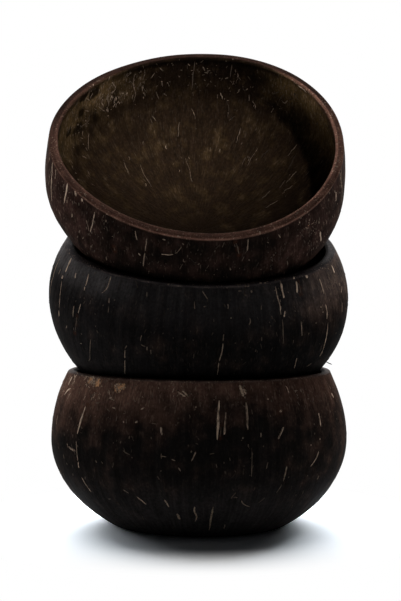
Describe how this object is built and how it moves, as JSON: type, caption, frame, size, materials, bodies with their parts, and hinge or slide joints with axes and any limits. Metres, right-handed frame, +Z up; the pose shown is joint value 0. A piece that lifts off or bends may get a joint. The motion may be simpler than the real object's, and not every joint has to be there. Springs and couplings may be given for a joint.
{
  "type": "coconut shell bowl",
  "caption": "Round coconut shell bowls with sawn rims, each leaning forward in the rim of the one below, on a flat ground base.",
  "frame": {"origin": "centre of the bottom bowl's flat base", "axes": "+Z up along the stack, -Y towards the side that the upper bowls lean to, +X to the right seen from there"},
  "size_m": [0.1489, 0.1521, 0.2332],
  "materials": {
    "bottom_shell": "oiled and sanded coconut shell, black-brown with tan husk fibres left in the grain",
    "middle_shell": "oiled and sanded coconut shell, near black with tan husk fibres left in the grain",
    "top_shell": "oiled and sanded coconut shell, red-brown with tan husk fibres left in the grain"
  },
  "bodies": {
    "bottom_bowl": {"bottom_bowl": "bottom_shell"},
    "middle_bowl": {"middle_bowl": "middle_shell"},
    "top_bowl": {"top_bowl": "top_shell"}
  },
  "joints": [
    {"name": "middle_lift", "type": "slide", "parent": "bottom_bowl", "child": "middle_bowl", "axis": [0, 0, 1], "range_m": [0, 0.1]},
    {"name": "top_lift", "type": "slide", "parent": "middle_bowl", "child": "top_bowl", "axis": [0, 0, 1], "range_m": [0, 0.12]}
  ]
}
